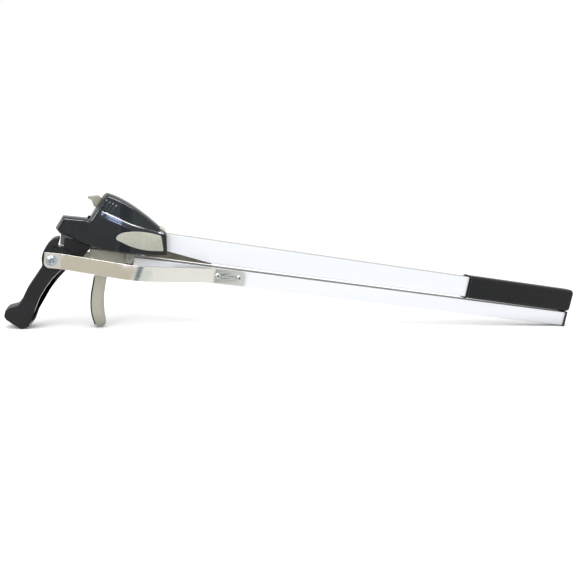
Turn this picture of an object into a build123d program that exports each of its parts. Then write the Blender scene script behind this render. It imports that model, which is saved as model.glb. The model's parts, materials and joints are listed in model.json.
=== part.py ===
"""Long reach stapler: a plier stapler head on two long parallel tubes.

The upper tube carries the head, the fixed hook handle and the anvil. The lower tube hangs on two bent
straps from the pivot bolt in the hook handle. Closing the tubes lifts the trigger, which drives a staple.

Every outline is drawn in the tool's own frame: x runs along the tubes away from the pivot bolt, z is
square to them, and y runs across. The whole tool then stands tilted on its hook foot and its lower
end cap, with the floor at Z = 0. All sizes are millimetres.
"""

import os
from math import atan2, cos, degrees, radians, sin, tan

from build123d import *

os.makedirs("parts", exist_ok=True)

# ---- tubes ----
TUBE_WIDTH = 16.0
UPPER_HEIGHT = 28.5
LOWER_HEIGHT = 20.5
TUBE_WALL = 1.6
TUBE_CORNER = 1.2
LOWER_BOTTOM = -5.5
TUBE_GAP = 4.0
UPPER_BOTTOM = LOWER_BOTTOM + LOWER_HEIGHT + TUBE_GAP
LOWER_START = 89.0
LOWER_END = 735.0
UPPER_START = 87.0
UPPER_END = 738.5
RELIEF_END = 184.5          # where the upper tube's slanted relief runs out
RELIEF_SLOPE = 8.0          # degrees
CAP_LIP = 1.2
CAP_THICKNESS = 3.0

# ---- hook handle and pivot ----
HANDLE_HALF_WIDTH = 11.0
HANDLE_CORE = 6.5
TONGUE_HALF_WIDTH = 8.0
PIVOT_BOLT_RADIUS = 4.0
RUNNING_CLEARANCE = 0.05
FOOT_X = -25.1
FOOT_Z = -83.2
FOOT_FLAT = 5.0
ANVIL_TOP = 15.8

# ---- straps ----
STRAP_THICKNESS = 2.5
STRAP_HEIGHT = 17.5
STRAP_GAP = 0.4             # beside the hook handle
STRAP_NOSE = 8.0             # how far the straps reach in front of the pivot bolt
STRAP_PAD_END = 11.0
STRAP_PEAK_X = 91.5
STRAP_PEAK_Y = 47.6
STRAP_REAR_PAD = 185.5
STRAP_END = 225.0
STRAP_RISE = 6.0            # how far the rear end sits above the pivot's line
SCREW_XS = (190.8, 217.8)

# ---- head ----
SHELL_WALL = 2.4
FRAME_INNER = 8.0
FRAME_OUTER = 10.0
TRIGGER_PIN = (84.0, 12.0)
MAGAZINE_PIN = (92.0, 26.5)
LEVER_PIN = (48.0, 70.0)

# ---- grip ----
GRIP_START = 551.0
GRIP_HALF_WIDTH = 10.0
GRIP_TOP = UPPER_BOTTOM + UPPER_HEIGHT + 2.4
GRIP_BOTTOM = UPPER_BOTTOM - 2.4
GRIP_END = UPPER_END + 3.5

# ---- how the tool stands ----
CAP_CORNER_X = LOWER_END + CAP_THICKNESS
CAP_CORNER_Z = LOWER_BOTTOM - CAP_LIP
TILT = atan2(CAP_CORNER_Z - FOOT_Z, CAP_CORNER_X - FOOT_X)
PIVOT_HEIGHT = FOOT_X * sin(TILT) - FOOT_Z * cos(TILT)
CENTRE_SHIFT = -346.59      # puts the origin under the middle of the whole length
PIVOT = Vector(CENTRE_SHIFT, 0, PIVOT_HEIGHT)


def direction(x, z, extra_tilt=0.0):
    """A direction of the tool's own frame, turned into the standing frame."""
    turn = TILT - radians(extra_tilt)
    return Vector(x * cos(turn) + z * sin(turn), 0, z * cos(turn) - x * sin(turn))


ALONG = direction(1, 0)
UP = direction(0, 1)
ACROSS = Vector(0, 1, 0)


def side(y=0.0):
    """Plane of the tool's side view at y. It faces -y."""
    return Plane(origin=PIVOT + ACROSS * y, x_dir=ALONG, z_dir=(0, -1, 0))


def plan(z=0.0):
    """Plane of the tool's top view at height z."""
    return Plane(origin=PIVOT + UP * z, x_dir=ALONG, z_dir=UP)


def station(x):
    """Plane of the tool's cross-section at x, seen from the hook end."""
    return Plane(origin=PIVOT + ALONG * x, x_dir=ACROSS, z_dir=ALONG)


def slab(points, y0, y1):
    """A flat solid with the side outline given by points, from y0 to y1."""
    with BuildPart() as body:
        with BuildSketch(side(y1)):
            with BuildLine():
                Polyline(*points, close=True)
            make_face()
        extrude(amount=y1 - y0)
    return body.part


def block(x0, x1, y0, y1, z0, z1):
    """A box in the tool's frame."""
    return slab([(x0, z0), (x1, z0), (x1, z1), (x0, z1)], y0, y1)


def rod(centre, radius, y0, y1):
    """A round bar across the tool, centred on the side view's point."""
    with BuildPart() as body:
        with BuildSketch(side(y1)):
            with Locations(centre):
                Circle(radius)
        extrude(amount=y1 - y0)
    return body.part


def rods(centres, radius, y0, y1):
    return [rod(centre, radius, y0, y1) for centre in centres]


def write(part, name):
    part.label = name
    export_step(part, f"parts/{name}.step")


# ---------------------------------------------------------------- tubes
def tube(x0, x1, bottom, height):
    """A rectangular tube with rounded corners."""
    with BuildPart() as body:
        with BuildSketch(station(x0)):
            with Locations((0, bottom + height / 2)):
                RectangleRounded(TUBE_WIDTH, height, TUBE_CORNER)
                Rectangle(TUBE_WIDTH - 2 * TUBE_WALL, height - 2 * TUBE_WALL, mode=Mode.SUBTRACT)
        extrude(amount=x1 - x0)
    return body.part


TUBE_BOLTS = ((98.2, 38.6), (108.6, 38.6))
TUBE_BOLT_RADIUS = 2.5
# The relief opens the tube's left side and underside. The right side is only notched for the magazine.
relief_rise = (RELIEF_END - UPPER_START + 10) * tan(radians(RELIEF_SLOPE))
relief = slab(
    [
        (RELIEF_END, UPPER_BOTTOM),
        (UPPER_START - 10, UPPER_BOTTOM + relief_rise),
        (UPPER_START - 10, UPPER_BOTTOM - 5),
        (RELIEF_END, UPPER_BOTTOM - 5),
    ],
    -TUBE_WIDTH,
    TUBE_WIDTH / 2 - TUBE_WALL,
)
with BuildPart() as upper_tube:
    add(tube(UPPER_START, UPPER_END, UPPER_BOTTOM, UPPER_HEIGHT))
    add(relief, mode=Mode.SUBTRACT)
    add(rods(TUBE_BOLTS, TUBE_BOLT_RADIUS, -TUBE_WIDTH, TUBE_WIDTH), mode=Mode.SUBTRACT)
    add(block(UPPER_START - 1, 101.0, -TUBE_WIDTH, TUBE_WIDTH, UPPER_BOTTOM - 1, 33.0), mode=Mode.SUBTRACT)
write(upper_tube.part, "upper_tube")

STRAP_SCREW_RADIUS = 2.3


def strap_line(x):
    """Height of the straps' centre line at x."""
    return STRAP_RISE * x / STRAP_END


SCREW_POINTS = [(x, strap_line(x)) for x in SCREW_XS]
BLOCK_PIN = (97.0, 4.0)
BLOCK_PIN_RADIUS = 1.5
with BuildPart() as lower_tube:
    add(tube(LOWER_START, LOWER_END, LOWER_BOTTOM, LOWER_HEIGHT))
    add(rods(SCREW_POINTS, STRAP_SCREW_RADIUS, -TUBE_WIDTH, TUBE_WIDTH), mode=Mode.SUBTRACT)
    add(rod(BLOCK_PIN, BLOCK_PIN_RADIUS, -TUBE_WIDTH, TUBE_WIDTH), mode=Mode.SUBTRACT)
write(lower_tube.part, "lower_tube")

# The end cap's lip stands proud of the tube all round, and its plug fills the bore.
with BuildPart() as lower_end_cap:
    with BuildSketch(station(LOWER_END)):
        with Locations((0, LOWER_BOTTOM + LOWER_HEIGHT / 2)):
            RectangleRounded(TUBE_WIDTH + 2 * CAP_LIP, LOWER_HEIGHT + 2 * CAP_LIP, 1.0)
    extrude(amount=CAP_THICKNESS)
    with BuildSketch(station(LOWER_END)):
        with Locations((0, LOWER_BOTTOM + LOWER_HEIGHT / 2)):
            Rectangle(TUBE_WIDTH - 2 * TUBE_WALL - 0.2, LOWER_HEIGHT - 2 * TUBE_WALL - 0.2)
    extrude(amount=-14)
write(lower_end_cap.part, "lower_end_cap")

# The push block sits in the lower tube's mouth and bears on the trigger arm with its rounded tip.
TIP_RADIUS = 3.4
TIP_CENTRE = (75.4, 1.2)
with BuildPart() as push_block:
    tip_bottom, tip_top = TIP_CENTRE[1] - TIP_RADIUS, TIP_CENTRE[1] + TIP_RADIUS
    add(block(TIP_CENTRE[0], LOWER_START + 18, -6, 6, tip_bottom, tip_top))
    add(rod(TIP_CENTRE, TIP_RADIUS, -6, 6))
    add(block(LOWER_START + 1, LOWER_START + 18, -6, 6, -3.4, 12.8))
    add(rod(BLOCK_PIN, BLOCK_PIN_RADIUS, -6, 6), mode=Mode.SUBTRACT)
write(push_block.part, "push_block")

with BuildPart() as push_block_pin:
    add(rod(BLOCK_PIN, BLOCK_PIN_RADIUS, -TUBE_WIDTH / 2 - 0.3, TUBE_WIDTH / 2 + 0.3))
write(push_block_pin.part, "push_block_pin")

# ---------------------------------------------------------------- straps
STRAP_TILT = degrees(atan2(STRAP_RISE, STRAP_END))
STRAP_INNER = HANDLE_HALF_WIDTH + STRAP_GAP
STRAP_FRONT_Y = STRAP_INNER + STRAP_THICKNESS / 2
STRAP_REAR_Y = TUBE_WIDTH / 2 + STRAP_THICKNESS / 2


def strap(hand):
    """A flat bar bent outwards round the head. hand is -1 on the left side and 1 on the right."""
    strap_plane = Plane(origin=PIVOT, x_dir=direction(1, 0, STRAP_TILT), z_dir=direction(0, 1, STRAP_TILT))
    with BuildPart() as bar:
        with BuildLine(strap_plane) as route:
            FilletPolyline(
                (-STRAP_NOSE, hand * STRAP_FRONT_Y),
                (STRAP_PAD_END, hand * STRAP_FRONT_Y),
                (STRAP_PEAK_X, hand * STRAP_PEAK_Y),
                (STRAP_REAR_PAD, hand * STRAP_REAR_Y),
                (STRAP_END, hand * STRAP_REAR_Y),
                radius=[5, 45, 8],
            )
        with BuildSketch(Plane(origin=route.line @ 0, x_dir=ACROSS, z_dir=route.line % 0)):
            Rectangle(STRAP_THICKNESS, STRAP_HEIGHT)
        sweep(path=route.line)
        fillet(bar.edges().filter_by(Axis.Y).group_by(Axis.X)[0], radius=6)
        fillet(bar.edges().filter_by(Axis.Y).group_by(Axis.X)[-1], radius=6)
        add(rod((0, 0), PIVOT_BOLT_RADIUS + RUNNING_CLEARANCE, -20, 20), mode=Mode.SUBTRACT)
        add(rods(SCREW_POINTS, STRAP_SCREW_RADIUS, -20, 20), mode=Mode.SUBTRACT)
    return bar.part


write(strap(-1), "strap_left")
write(strap(1), "strap_right")

STRAP_REAR_OUTER = TUBE_WIDTH / 2 + STRAP_THICKNESS


def dome_screw(centre, shank, head, y_head, y_tip):
    """A screw across the tool with a low domed head under y_head and its tip at y_tip."""
    with BuildPart() as body:
        add(rod(centre, shank, y_head, y_tip))
        add(rod(centre, head, y_head - 0.9, y_head))
        add(rod(centre, head * 0.72, y_head - 1.7, y_head - 0.9))
    return body.part


with BuildPart() as strap_screws:
    for point in SCREW_POINTS:
        add(dome_screw(point, STRAP_SCREW_RADIUS, 3.6, -STRAP_REAR_OUTER, STRAP_REAR_OUTER + 3.2))
write(strap_screws.part, "strap_screws")


def hex_nut(centre, across_flats, bore, y0, y1):
    with BuildPart() as body:
        with BuildSketch(side(y1)):
            with Locations(centre):
                RegularPolygon(across_flats / 2, 6, major_radius=False)
                Circle(bore, mode=Mode.SUBTRACT)
        extrude(amount=y1 - y0)
    return body.part


with BuildPart() as strap_nuts:
    for point in SCREW_POINTS:
        add(hex_nut(point, 7.0, STRAP_SCREW_RADIUS, STRAP_REAR_OUTER, STRAP_REAR_OUTER + 2.6))
write(strap_nuts.part, "strap_nuts")

# ---------------------------------------------------------------- hook handle
SLEEVE_RADIUS = 5.5
foot_flat_end = (FOOT_X + FOOT_FLAT * cos(TILT), FOOT_Z + FOOT_FLAT * sin(TILT))
handle_outline = [
    (-9.3, -8.4),
    (-15.9, -22.4),
    (-22.4, -36.0),
    (-26.8, -50.6),
    (-30.2, -56.4),
    (-39.3, -60.2),
    (-42.4, -63.6),
    (-43.0, -70.2),
    (-40.7, -73.8),
    (FOOT_X, FOOT_Z),
    foot_flat_end,
    (-14.8, -78.4),
    (-10.1, -70.7),
    (-7.5, -57.5),
    (-2.9, -44.8),
    (2.9, -32.2),
    (9.0, -21.1),
    (17.2, -8.0),
    (32.3, 7.1),
    (38.2, 16.3),
    (20.4, 14.0),
    (20.4, 8.4),
    (0.4, 8.4),
    (0.4, 14.0),
    (-2.0, 15.1),
    (-0.8, 18.6),
    (2.0, 21.6),
    (6.0, 23.1),
    (5.4, 26.6),
    (0.5, 25.3),
    (-3.2, 22.1),
    (-6.6, 16.6),
    (-9.7, 10.1),
    (-11.3, 1.4),
]
# The finger side of the handle is rounded: its flanks stop short of the middle's edge.
finger_side = {-78.4: 0.8, -70.7: 2.2, -57.5: 2.8, -44.8: 4.5, -32.2: 5.1, -21.1: 5.3}
cheek_outline = [(round(x - finger_side.get(z, 0.0), 1), z) for x, z in handle_outline]
HOOK_BOLTS = ((23.4, 8.2), (31.0, 12.0))
HOOK_BOLT_RADIUS = 2.0
with BuildPart() as hook_handle:
    add(slab(handle_outline, -HANDLE_CORE, HANDLE_CORE))
    add(slab(cheek_outline, -HANDLE_HALF_WIDTH, HANDLE_HALF_WIDTH))
    for hand in (-1, 1):
        y0, y1 = sorted((hand * TONGUE_HALF_WIDTH, hand * 20))
        add(block(14.8, 50, y0, y1, -4, 30), mode=Mode.SUBTRACT)
    add(rod((0, 0), SLEEVE_RADIUS, -20, 20), mode=Mode.SUBTRACT)
    add(rods(HOOK_BOLTS, HOOK_BOLT_RADIUS, -20, 20), mode=Mode.SUBTRACT)
write(hook_handle.part, "hook_handle")

with BuildPart() as pivot_sleeve:
    add(rod((0, 0), SLEEVE_RADIUS, -HANDLE_HALF_WIDTH, HANDLE_HALF_WIDTH))
    add(rod((0, 0), PIVOT_BOLT_RADIUS, -20, 20), mode=Mode.SUBTRACT)
write(pivot_sleeve.part, "pivot_sleeve")

# Domed bolt on the left, nyloc nut on the right. Both stay clear of the straps that turn under them.
BOLT_FACE = STRAP_INNER + STRAP_THICKNESS + 0.3
with BuildPart() as pivot_bolt:
    add(rod((0, 0), PIVOT_BOLT_RADIUS, -BOLT_FACE, BOLT_FACE + 7.5))
    add(rod((0, 0), 6.0, -BOLT_FACE - 1.6, -BOLT_FACE))
    add(rod((0, 0), 5.0, -BOLT_FACE - 3.2, -BOLT_FACE - 1.6))
write(pivot_bolt.part, "pivot_bolt")

with BuildPart() as pivot_nut:
    add(hex_nut((0, 0), 12.5, PIVOT_BOLT_RADIUS, BOLT_FACE, BOLT_FACE + 6.0))
write(pivot_nut.part, "pivot_nut")

# The anvil fills the pocket over the pivot, with two clinching grooves under the staple's legs.
STAPLE_X = 9.3
with BuildPart() as anvil:
    add(block(0.4, 14.8, -HANDLE_HALF_WIDTH, HANDLE_HALF_WIDTH, 8.4, ANVIL_TOP - 2.0))
    add(block(14.8, 20.4, -TONGUE_HALF_WIDTH, TONGUE_HALF_WIDTH, 8.4, ANVIL_TOP - 2.0))
    add(block(0.4, 20.4, -TONGUE_HALF_WIDTH, TONGUE_HALF_WIDTH, ANVIL_TOP - 2.0, ANVIL_TOP))
    for y in (-3.4, 3.4):
        add(block(STAPLE_X - 1, STAPLE_X + 1, y - 2.2, y + 2.2, ANVIL_TOP - 0.8, 20), mode=Mode.SUBTRACT)
write(anvil.part, "anvil")

# ---------------------------------------------------------------- head frame
frame_outline = [
    (16.3, 1.6),
    (26.9, 3.6),
    (38.3, 17.1),
    (41.4, 23.1),
    (79.2, 23.1),
    (79.2, 12.0),
    (88.8, 12.0),
    (88.8, 21.6),
    (97.2, 24.1),
    (111.6, 31.1),
    (112.6, 46.1),
    (70.8, 46.1),
    (52.9, 38.1),
    (28.2, 33.1),
    (20.7, 26.1),
    (14.0, 26.5),
    (10.6, 26.5),
    (10.6, 14.2),
    (17.2, 14.2),
]
LUG_RADIUS = 4.8
PIN_RADIUS = 2.0
with BuildPart() as head_frame:
    for hand in (-1, 1):
        y0, y1 = sorted((hand * FRAME_INNER, hand * FRAME_OUTER))
        add(slab(frame_outline, y0, y1))
        add(rod(TRIGGER_PIN, LUG_RADIUS, y0, y1))
    add(block(55.1, 81.2, -FRAME_OUTER, FRAME_OUTER, 44, 46))
    add(rod(TRIGGER_PIN, PIN_RADIUS, -20, 20), mode=Mode.SUBTRACT)
    add(rod(MAGAZINE_PIN, PIN_RADIUS, -20, 20), mode=Mode.SUBTRACT)
    add(rods(HOOK_BOLTS, HOOK_BOLT_RADIUS, -20, 20), mode=Mode.SUBTRACT)
    add(rods(TUBE_BOLTS, TUBE_BOLT_RADIUS, -20, 20), mode=Mode.SUBTRACT)
write(head_frame.part, "head_frame")

with BuildPart() as hook_bolts:
    for point in HOOK_BOLTS:
        add(dome_screw(point, HOOK_BOLT_RADIUS, 3.0, -FRAME_OUTER, FRAME_OUTER + 0.6))
write(hook_bolts.part, "hook_bolts")

with BuildPart() as tube_bolts:
    for point in TUBE_BOLTS:
        add(dome_screw(point, TUBE_BOLT_RADIUS, 3.8, -FRAME_OUTER, FRAME_OUTER + 1.2))
write(tube_bolts.part, "tube_bolts")

for name, centre, half_length in (("trigger_pin", TRIGGER_PIN, 14.5), ("magazine_pin", MAGAZINE_PIN, 10.6)):
    with BuildPart() as cross_pin:
        add(rod(centre, PIN_RADIUS, -10.6, half_length))
    write(cross_pin.part, name)

# ---------------------------------------------------------------- head housing
top_front = (49.5, 84.7)
top_middle = (86.4, 71.9)
top_rear = (121.0, 50.0)
head_front_outline = [
    (126.0, 21.6),
    (107.0, 18.8),
    (84.2, 17.4),
    (52.1, 17.9),
    (40.1, 19.8),
    (25.4, 22.8),
    (13.4, 28.4),
    (5.0, 29.5),
    (-0.6, 36.1),
    (5.9, 51.2),
    (34.0, 52.6),
    (46.4, 80.9),
    top_front,
]
PLAN_HALF_WIDTHS = (
    (-3.0, 10.5),
    (5.4, 12.0),
    (32.0, 13.5),
    (48.5, 20.0),
    (65.0, 22.5),
    (85.5, 22.0),
    (108.0, 17.5),
    (129.0, 13.0),
)


def head_blank(inset):
    """The head's outer form, drawn in by inset all round."""
    with BuildPart() as body:
        with BuildSketch(side()):
            with BuildLine():
                Polyline(top_rear, *head_front_outline)
                ThreePointArc(top_front, top_middle, top_rear)
            make_face()
            if inset:
                offset(amount=-inset, kind=Kind.INTERSECTION)
        extrude(amount=30, both=True)
        with BuildSketch(plan()):
            with BuildLine():
                left = [(x, -w + inset) for x, w in PLAN_HALF_WIDTHS]
                right = [(x, w - inset) for x, w in reversed(PLAN_HALF_WIDTHS)]
                Polyline(*left, *right, close=True)
            make_face()
        extrude(amount=120, mode=Mode.INTERSECT)
    return body.part


collar_outline = [(110.1, 27.6), (124.9, 26.5), (122.9, 48.0), (118.6, 54.4), (111.9, 54.0)]
COLLAR_HALF_WIDTH = 10.4
collar_solid = slab(collar_outline, -COLLAR_HALF_WIDTH, COLLAR_HALF_WIDTH)
tube_solid = block(
    UPPER_START, 160, -TUBE_WIDTH / 2, TUBE_WIDTH / 2, UPPER_BOTTOM, UPPER_BOTTOM + UPPER_HEIGHT
)
with BuildPart() as tube_collar:
    add(collar_solid)
    add(tube_solid, mode=Mode.SUBTRACT)
    add(block(100, 112.8, -20, 20, 20, 60), mode=Mode.SUBTRACT)
write(tube_collar.part, "tube_collar")

HOUSING_SCREWS = ((70.0, 61.5, 22.0), (105.4, 53.6, 17.8))
SCREW_RADIUS = 1.5
SCREW_HEAD_RADIUS = 3.0
inlay_points = [
    (64.8, 35.8),
    (72.2, 43.3),
    (93.2, 47.1),
    (115.5, 45.1),
    (121.2, 26.9),
    (101.4, 25.9),
    (82.5, 28.8),
]


def inlay(hand):
    """The textured side panel, let into the shell and standing slightly proud."""
    with BuildPart() as body:
        with BuildSketch(side()):
            with BuildLine():
                Spline(*inlay_points[3::-1], tangents=((-1, 0.1), (0.1, -1)), tangent_scalars=(1, 0.6))
                Line(inlay_points[3], inlay_points[4])
                lower_edge = (*inlay_points[4:], inlay_points[0])
                Spline(*lower_edge, tangents=((-1, -0.02), (-0.3, 1)), tangent_scalars=(1, 0.6))
            make_face()
        extrude(amount=-hand * 30)
        add(head_blank(-0.5), mode=Mode.INTERSECT)
        add(head_blank(0.9), mode=Mode.SUBTRACT)
    return body.part


def housing(hand, panel):
    """One moulded half of the head's shell, open below for the magazine, the frame and the trigger."""
    with BuildPart() as shell:
        add(head_blank(0))
        add(head_blank(SHELL_WALL), mode=Mode.SUBTRACT)
        y0, y1 = sorted((0, -hand * 60))
        add(block(-60, 200, y0, y1, -60, 160), mode=Mode.SUBTRACT)
        add(block(4.7, 20.4, -8.6, 8.6, 10, 33), mode=Mode.SUBTRACT)
        add(block(16.8, 97.0, -10.4, 10.4, 10, 30), mode=Mode.SUBTRACT)
        add(block(36.0, 46.8, -5.4, 5.4, 60, 79.5), mode=Mode.SUBTRACT)
        add(collar_solid, mode=Mode.SUBTRACT)
        add(tube_solid, mode=Mode.SUBTRACT)
        add(panel, mode=Mode.SUBTRACT)
        for x, z, half_width in HOUSING_SCREWS:
            add(rod((x, z), SCREW_HEAD_RADIUS + 1.8, *sorted((hand * 0.0, hand * (half_width - 1.5)))))
            add(rod((x, z), SCREW_RADIUS, -30, 30), mode=Mode.SUBTRACT)
            add(rod((x, z), SCREW_HEAD_RADIUS, half_width - 2.2, 40), mode=Mode.SUBTRACT)
        add(rod(LEVER_PIN, PIN_RADIUS, -15, 15), mode=Mode.SUBTRACT)
    return shell.part


for hand, name in ((-1, "left"), (1, "right")):
    panel = inlay(hand)
    write(panel, f"inlay_{name}")
    write(housing(hand, panel), f"housing_{name}")

with BuildPart() as housing_screws:
    for x, z, half_width in HOUSING_SCREWS:
        add(rod((x, z), SCREW_RADIUS, -half_width + 4, half_width - 2.2))
        add(rod((x, z), SCREW_HEAD_RADIUS, half_width - 2.2, half_width - 0.4))
write(housing_screws.part, "housing_screws")

# ---------------------------------------------------------------- trigger
TRIGGER_HALF_WIDTH = 7.0
trigger_outline = [
    (39.0, 13.5),
    (44.3, 7.3),
    (47.0, -4.0),
    (48.4, -15.1),
    (47.4, -37.3),
    (48.5, -50.5),
    (51.7, -61.7),
    (55.9, -71.0),
    (59.7, -73.5),
    (66.0, -71.8),
    (67.6, -67.8),
    (63.7, -53.5),
    (61.1, -36.3),
    (61.5, -15.1),
    (63.0, -0.9),
    (65.2, 5.0),
    (78.5, 5.0),
    (82.0, 7.7),
    (84.0, 16.4),
    (81.2, 18.4),
    (39.4, 18.4),
]
strip_outline = [
    (47.0, -15.1),
    (48.4, -15.1),
    (47.4, -37.3),
    (48.5, -50.5),
    (51.7, -61.7),
    (55.9, -71.0),
    (54.7, -72.1),
    (50.4, -62.3),
    (47.1, -50.9),
    (45.9, -37.5),
]
TRIGGER_LUG = 4.4
with BuildPart() as trigger:
    add(slab(trigger_outline, -TRIGGER_HALF_WIDTH, TRIGGER_HALF_WIDTH))
    add(rod(TRIGGER_PIN, TRIGGER_LUG, -TRIGGER_HALF_WIDTH, TRIGGER_HALF_WIDTH))
    add(rod(TRIGGER_PIN, PIN_RADIUS + RUNNING_CLEARANCE, -20, 20), mode=Mode.SUBTRACT)
write(trigger.part, "trigger")

with BuildPart() as trigger_strip:
    add(slab(strip_outline, -TRIGGER_HALF_WIDTH + 1, TRIGGER_HALF_WIDTH - 1))
write(trigger_strip.part, "trigger_strip")

# ---------------------------------------------------------------- magazine and driver
MAGAZINE_BOTTOM = 21.8
MAGAZINE_TOP = 31.0
MAGAZINE_FRONT = 10.5
MAGAZINE_REAR = 85.0
SHEET = 1.0
with BuildPart() as magazine:
    add(block(MAGAZINE_FRONT, MAGAZINE_REAR + 2, -6.8, 6.8, MAGAZINE_BOTTOM, MAGAZINE_TOP))
    channel = block(MAGAZINE_FRONT - 1, MAGAZINE_REAR, -5.8, 5.8, MAGAZINE_BOTTOM + SHEET, 40)
    add(channel, mode=Mode.SUBTRACT)
    add(block(MAGAZINE_REAR, MAGAZINE_PIN[0], -4, 4, MAGAZINE_PIN[1] - 4, MAGAZINE_PIN[1] + 4))
    add(rod(MAGAZINE_PIN, 4.0, -4, 4))
    add(rod(MAGAZINE_PIN, PIN_RADIUS + RUNNING_CLEARANCE, -20, 20), mode=Mode.SUBTRACT)
write(magazine.part, "magazine")

NOSE_BOTTOM = 18.2
front_plate = [(6.7, NOSE_BOTTOM), (7.7, NOSE_BOTTOM), (7.7, MAGAZINE_TOP), (6.1, MAGAZINE_TOP)]
side_plate = [(7.7, NOSE_BOTTOM), (11.6, NOSE_BOTTOM), (12.0, 21.8), (10.5, 21.8), (10.5, 31.0), (7.7, 31.0)]
with BuildPart() as nose_plate:
    add(slab(front_plate, -6.8, 6.8))
    for y0, y1 in ((-6.8, -5.8), (5.8, 6.8)):
        add(slab(side_plate, y0, y1))
write(nose_plate.part, "nose_plate")

STAPLES_END = 52.0
with BuildPart() as staple_stick:
    add(block(MAGAZINE_FRONT + 0.4, STAPLES_END, -5.7, 5.7, MAGAZINE_BOTTOM + SHEET, 29.4))
    add(block(MAGAZINE_FRONT, STAPLES_END + 1, -5.1, 5.1, 20, 28.8), mode=Mode.SUBTRACT)
write(staple_stick.part, "staple_stick")

PUSHER_REAR = 60.0
with BuildPart() as staple_pusher:
    add(block(STAPLES_END, STAPLES_END + 2, -5.4, 5.4, MAGAZINE_BOTTOM + SHEET + 0.3, 30))
    add(block(STAPLES_END + 2, PUSHER_REAR, -4.2, 4.2, MAGAZINE_BOTTOM + SHEET + 0.3, 30))
write(staple_pusher.part, "staple_pusher")


def coil(x0, x1, centre_z, radius, wire, turns):
    """A compression spring as touching rings round a thin sleeve, along the tool."""
    pitch = (x1 - x0) / turns
    with BuildPart() as body:
        with BuildSketch(side()):
            with Locations((0.5 * (x0 + x1), centre_z + radius)):
                Rectangle(x1 - x0, wire * 0.5)
            with Locations(*[(x0 + pitch * (turn + 0.5), centre_z + radius) for turn in range(turns)]):
                Circle(wire / 2)
        revolve(axis=Axis(PIVOT + UP * centre_z, ALONG))
    return body.part


write(coil(PUSHER_REAR + 0.5, MAGAZINE_REAR - 0.5, 26.4, 2.4, 0.8, 12), "pusher_spring")


def torsion_coil(centre, radius, wire, y0, turns):
    """A torsion spring's coil as touching rings round a cross pin."""
    with BuildPart() as body:
        with BuildSketch(Plane(origin=side().from_local_coords((*centre, 0)), x_dir=ALONG, z_dir=UP)):
            for turn in range(turns):
                with Locations((radius, y0 + wire * 0.9 * (turn + 0.5))):
                    Circle(wire / 2)
        revolve(axis=Axis(side().from_local_coords((*centre, 0)), (0, 1, 0)))
    return body.part


write(torsion_coil(TRIGGER_PIN, 2.9, 1.2, FRAME_OUTER + 0.1, 3), "trigger_spring")
write(torsion_coil(LEVER_PIN, 2.6, 0.8, 5.4, 4), "lever_spring")

BLADE_FRONT = 8.9
BLADE_BACK = 9.6
with BuildPart() as driver_blade:
    add(block(BLADE_FRONT, BLADE_BACK, -5.4, 5.4, NOSE_BOTTOM + 0.8, 37))
write(driver_blade.part, "driver_blade")

with BuildPart() as driver_arm:
    add(block(BLADE_BACK, 34.5, -4, 4, 32.2, 36.8))
    add(block(18.0, 21.5, -4, 4, 36.8, 37.6))
write(driver_arm.part, "driver_arm")

# ---------------------------------------------------------------- release lever
LEVER_HALF_WIDTH = 5.0
lever_outline = [
    (29.0, 76.6),
    (41.0, 79.8),
    (47.0, 75.6),
    (52.6, 71.6),
    (51.6, 66.8),
    (44.6, 66.4),
    (37.4, 66.2),
    (33.8, 73.2),
    (30.4, 74.0),
]
with BuildPart() as release_lever:
    add(slab(lever_outline, -LEVER_HALF_WIDTH, LEVER_HALF_WIDTH))
    add(rod(LEVER_PIN, PIN_RADIUS + RUNNING_CLEARANCE, -20, 20), mode=Mode.SUBTRACT)
write(release_lever.part, "release_lever")

with BuildPart() as lever_pin:
    add(rod(LEVER_PIN, PIN_RADIUS, -15, 15))
write(lever_pin.part, "lever_pin")

# ---------------------------------------------------------------- grip
grip_centre = (GRIP_TOP + GRIP_BOTTOM) / 2
with BuildPart() as grip:
    with BuildSketch(station(GRIP_START)):
        with Locations((0, grip_centre)):
            RectangleRounded(2 * GRIP_HALF_WIDTH, GRIP_TOP - GRIP_BOTTOM, 5.0)
    extrude(amount=GRIP_END - GRIP_START)
    fillet(grip.faces().sort_by(Axis.X)[-1].edges(), radius=2.6)
    bore = block(GRIP_START - 1, UPPER_END, -8, 8, UPPER_BOTTOM, UPPER_BOTTOM + UPPER_HEIGHT)
    add(bore, mode=Mode.SUBTRACT)
write(grip.part, "grip")
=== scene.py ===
"""Long reach stapler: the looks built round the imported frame.

Everything is drawn in the tool's own frame, in millimetres: x runs along the tubes from the pivot
bolt, y runs across (the left side is -y) and z is square to the tubes. TOOL turns it into the row frame.
"""
import json
from bisect import bisect_right
from math import acos, atan2, copysign, cos, exp, hypot, pi, radians, sin, tan

import bmesh
import bpy
import numpy as np
from mathutils import Matrix, Vector


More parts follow.
